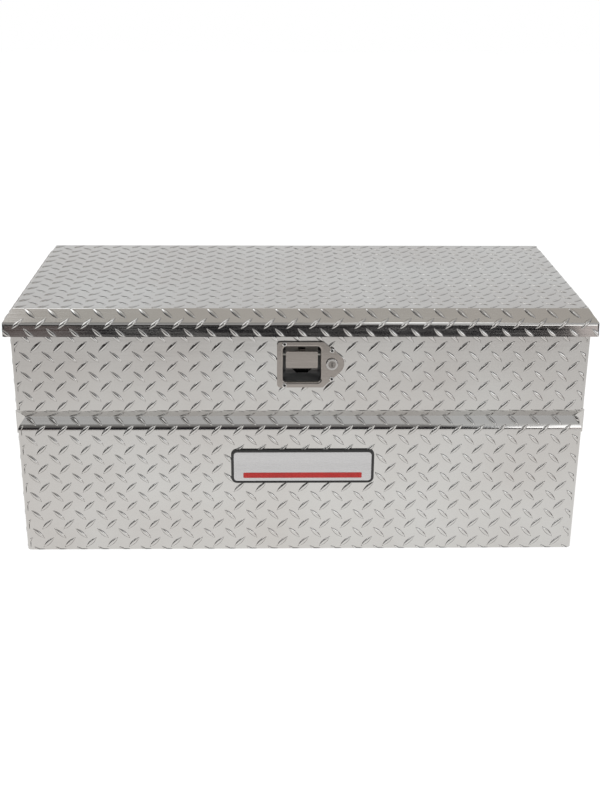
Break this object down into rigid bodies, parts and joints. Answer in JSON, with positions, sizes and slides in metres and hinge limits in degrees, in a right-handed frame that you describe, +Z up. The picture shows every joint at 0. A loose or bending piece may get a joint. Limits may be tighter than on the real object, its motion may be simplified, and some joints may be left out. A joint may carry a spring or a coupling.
{
  "type": "truck tool box",
  "caption": "Diamond-tread aluminium truck chest with one overhanging lid on a full-length rear hinge, a recessed paddle latch with lock, a pressed front groove and gas struts.",
  "frame": {"origin": "bottom centre of the whole box", "axes": "+X along the box to the right seen from the front, +Y to the rear (hinge side), +Z up; the latch faces -Y"},
  "size_m": [0.9424, 0.4362, 0.423],
  "materials": {
    "tread_aluminium": "bright diamond-tread sheet, mill-polished",
    "plain_aluminium": "mill finish sheet",
    "stainless": "brushed stainless steel",
    "hinge_steel": "bright stainless steel",
    "zinc_steel": "zinc-plated steel",
    "lock_chrome": "bright chrome",
    "strut_black": "satin black",
    "rod_chrome": "ground chrome",
    "black_plastic": "black nylon",
    "black_foam": "closed-cell foam",
    "black_rubber": "black rubber",
    "spring_steel": "spring steel"
  },
  "bodies": {
    "box": {"front_upper_panel": "tread_aluminium", "front_lower_panel": "tread_aluminium", "back_panel": "tread_aluminium", "left_end_panel": "tread_aluminium", "right_end_panel": "tread_aluminium", "floor_panel": "plain_aluminium", "seam_welds": "plain_aluminium", "rim_front": "plain_aluminium", "rim_right": "plain_aluminium", "rim_back": "plain_aluminium", "rim_left": "plain_aluminium", "hinge_leaf_body": "hinge_steel", "hinge_pin": "hinge_steel", "hinge_rivets_body": "hinge_steel", "latch_pan": "stainless", "latch_pad": "black_rubber", "latch_rivets": "stainless", "latch_frame": "stainless", "latch_hook_pin": "zinc_steel", "latch_hook_spring": "spring_steel", "paddle_pin": "zinc_steel", "paddle_spring": "spring_steel", "lock_barrel": "lock_chrome", "lock_nut": "zinc_steel", "strut_body_brackets": "plain_aluminium"},
    "lid": {"lid_shell": "tread_aluminium", "lid_stiffener_front": "plain_aluminium", "lid_stiffener_rear": "plain_aluminium", "lid_gasket": "black_foam", "hinge_leaf_lid": "hinge_steel", "hinge_rivets_lid": "hinge_steel", "striker_bracket": "plain_aluminium", "striker_loop": "zinc_steel", "striker_nuts": "zinc_steel", "strut_lid_brackets": "plain_aluminium"},
    "pull": {"paddle": "stainless"},
    "catch": {"latch_hook": "stainless"},
    "lock": {"lock_plug": "lock_chrome", "lock_cam": "zinc_steel", "cam_screw": "zinc_steel"},
    "right_tube": {"strut_foot_right": "black_plastic", "strut_tube_right": "strut_black"},
    "right_rod": {"strut_rod_right": "rod_chrome", "strut_head_right": "black_plastic"},
    "left_tube": {"strut_foot_left": "black_plastic", "strut_tube_left": "strut_black"},
    "left_rod": {"strut_rod_left": "rod_chrome", "strut_head_left": "black_plastic"}
  },
  "joints": [
    {"name": "lid_hinge", "type": "hinge", "parent": "box", "child": "lid", "pos_m": [0, 0.21459, 0.40955], "axis": [-1, 0, 0], "range_deg": [0, 90]},
    {"name": "paddle_pivot", "type": "hinge", "parent": "box", "child": "pull", "pos_m": [0, -0.19641, 0.346], "axis": [-1, 0, 0], "range_deg": [0, 32], "stiffness_Nm_per_rad": 0.15, "springref_deg": -17.19},
    {"name": "hook_pivot", "type": "hinge", "parent": "box", "child": "catch", "pos_m": [0, -0.15801, 0.3394], "axis": [1, 0, 0], "range_deg": [0, 25]},
    {"name": "lock_turn", "type": "hinge", "parent": "box", "child": "lock", "pos_m": [0.048, -0.20541, 0.3334], "axis": [0, 1, 0], "range_deg": [0, 90]},
    {"name": "right_strut_swing", "type": "hinge", "parent": "box", "child": "right_tube", "pos_m": [0.417, 0.02459, 0.21955], "axis": [1, 0, 0], "range_deg": [-2.85, 0]},
    {"name": "right_strut_slide", "type": "slide", "parent": "right_tube", "child": "right_rod", "axis": [0, 0.5173, 0.8558], "range_m": [0, 0.11305]},
    {"name": "left_strut_swing", "type": "hinge", "parent": "box", "child": "left_tube", "pos_m": [-0.417, 0.02459, 0.21955], "axis": [1, 0, 0], "range_deg": [-2.85, 0]},
    {"name": "left_strut_slide", "type": "slide", "parent": "left_tube", "child": "left_rod", "axis": [0, 0.5173, 0.8558], "range_m": [0, 0.11305]}
  ],
  "couplings": [
    {"joint": "hook_pivot", "follows": "paddle_pivot", "ratio": 0.78},
    {"joint": "right_strut_swing", "follows": "lid_hinge", "ratio": -0.031492},
    {"joint": "right_strut_slide", "follows": "lid_hinge", "m_per_rad": 0.071909},
    {"joint": "left_strut_swing", "follows": "lid_hinge", "ratio": -0.031492},
    {"joint": "left_strut_slide", "follows": "lid_hinge", "m_per_rad": 0.071909}
  ]
}
